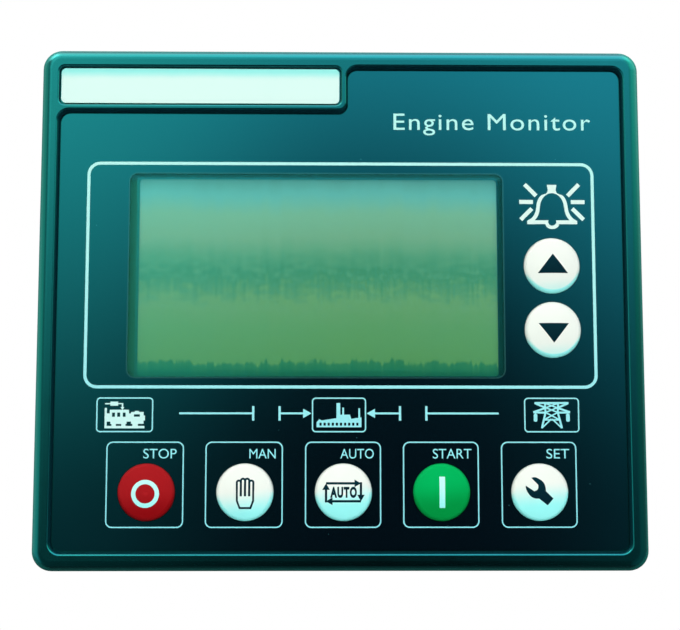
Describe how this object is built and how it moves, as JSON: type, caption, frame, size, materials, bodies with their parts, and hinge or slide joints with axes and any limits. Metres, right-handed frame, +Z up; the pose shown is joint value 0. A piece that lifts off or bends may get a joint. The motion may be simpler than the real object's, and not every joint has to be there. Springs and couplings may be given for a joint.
{
  "type": "generating-set controller",
  "caption": "Panel-mounted generating-set controller: a moulded bezel with a display window, round push buttons, a rear housing with pluggable terminals, and screw-jack fixing clips.",
  "frame": {"origin": "centre of the plane where the bezel's back and its gasket meet the panel", "axes": "+Z up the front face, +X to the right as seen from the front, +Y into the panel"},
  "size_m": [0.145, 0.0501, 0.12],
  "materials": {
    "bezel_plastic": "satin dark plastic",
    "overlay_print": "satin printed film",
    "plate_white": "smooth",
    "lens_clear": "clear, polished",
    "gasket_rubber": "matt",
    "button_red": "satin",
    "button_green": "satin",
    "button_white": "satin",
    "switch_black": "matt",
    "lamp_clear": "clear",
    "frame_black": "satin black",
    "display_green": "smooth",
    "diffuser": "frosted",
    "board_green": "solder mask",
    "screw_steel": "zinc plated",
    "spacer_brass": "turned",
    "relay_blue": "smooth",
    "coil_black": "potted",
    "can_metal": "sleeved",
    "terminal_green": "smooth",
    "pin_metal": "tinned"
  },
  "bodies": {
    "controller": {"front_bezel": "bezel_plastic", "name_plate": "plate_white", "front_overlay": "overlay_print", "display_lens": "lens_clear", "panel_gasket": "gasket_rubber", "switch_bases": "switch_black", "indicator_leds": "lamp_clear", "lcd_frame": "frame_black", "lcd_glass": "display_green", "lcd_backlight": "diffuser", "display_board": "board_green", "board_header": "switch_black", "board_socket": "switch_black", "board_spacers": "spacer_brass", "board_screws": "screw_steel", "main_board": "board_green", "processor_chip": "switch_black", "output_relays": "relay_blue", "current_transformers": "coil_black", "capacitors": "can_metal", "link_port": "switch_black", "rear_housing": "bezel_plastic", "housing_screws": "screw_steel", "left_clip": "switch_black", "right_clip": "switch_black", "jack_screws": "screw_steel", "header_pins": "pin_metal", "supply_header": "terminal_green", "sensor_header": "terminal_green", "genset_header": "terminal_green", "mains_header": "terminal_green", "current_header": "terminal_green"},
    "stop_key": {"stop_button": "button_red", "stop_plunger": "switch_black"},
    "manual_key": {"manual_button": "button_white", "manual_plunger": "switch_black"},
    "auto_key": {"auto_button": "button_white", "auto_plunger": "switch_black"},
    "start_key": {"start_button": "button_green", "start_plunger": "switch_black"},
    "set_key": {"set_button": "button_white", "set_plunger": "switch_black"},
    "up_key": {"up_button": "button_white", "up_plunger": "switch_black"},
    "down_key": {"down_button": "button_white", "down_plunger": "switch_black"},
    "supply_terminal": {"supply_plug": "terminal_green", "supply_screws": "screw_steel"},
    "sensor_terminal": {"sensor_plug": "terminal_green", "sensor_screws": "screw_steel"},
    "genset_terminal": {"genset_plug": "terminal_green", "genset_screws": "screw_steel"},
    "mains_terminal": {"mains_plug": "terminal_green", "mains_screws": "screw_steel"},
    "current_terminal": {"current_plug": "terminal_green", "current_screws": "screw_steel"}
  },
  "joints": [
    {"name": "stop_press", "type": "slide", "parent": "controller", "child": "stop_key", "axis": [0, 1, 0], "range_m": [0, 0.0009], "stiffness_N_per_m": 1500},
    {"name": "manual_press", "type": "slide", "parent": "controller", "child": "manual_key", "axis": [0, 1, 0], "range_m": [0, 0.0009], "stiffness_N_per_m": 1500},
    {"name": "auto_press", "type": "slide", "parent": "controller", "child": "auto_key", "axis": [0, 1, 0], "range_m": [0, 0.0009], "stiffness_N_per_m": 1500},
    {"name": "start_press", "type": "slide", "parent": "controller", "child": "start_key", "axis": [0, 1, 0], "range_m": [0, 0.0009], "stiffness_N_per_m": 1500},
    {"name": "set_press", "type": "slide", "parent": "controller", "child": "set_key", "axis": [0, 1, 0], "range_m": [0, 0.0009], "stiffness_N_per_m": 1500},
    {"name": "up_press", "type": "slide", "parent": "controller", "child": "up_key", "axis": [0, 1, 0], "range_m": [0, 0.0009], "stiffness_N_per_m": 1500},
    {"name": "down_press", "type": "slide", "parent": "controller", "child": "down_key", "axis": [0, 1, 0], "range_m": [0, 0.0009], "stiffness_N_per_m": 1500},
    {"name": "supply_unplug", "type": "slide", "parent": "controller", "child": "supply_terminal", "axis": [0, 1, 0], "range_m": [0, 0.01]},
    {"name": "sensor_unplug", "type": "slide", "parent": "controller", "child": "sensor_terminal", "axis": [0, 1, 0], "range_m": [0, 0.01]},
    {"name": "genset_unplug", "type": "slide", "parent": "controller", "child": "genset_terminal", "axis": [0, 1, 0], "range_m": [0, 0.01]},
    {"name": "mains_unplug", "type": "slide", "parent": "controller", "child": "mains_terminal", "axis": [0, 1, 0], "range_m": [0, 0.01]},
    {"name": "current_unplug", "type": "slide", "parent": "controller", "child": "current_terminal", "axis": [0, 1, 0], "range_m": [0, 0.01]}
  ]
}
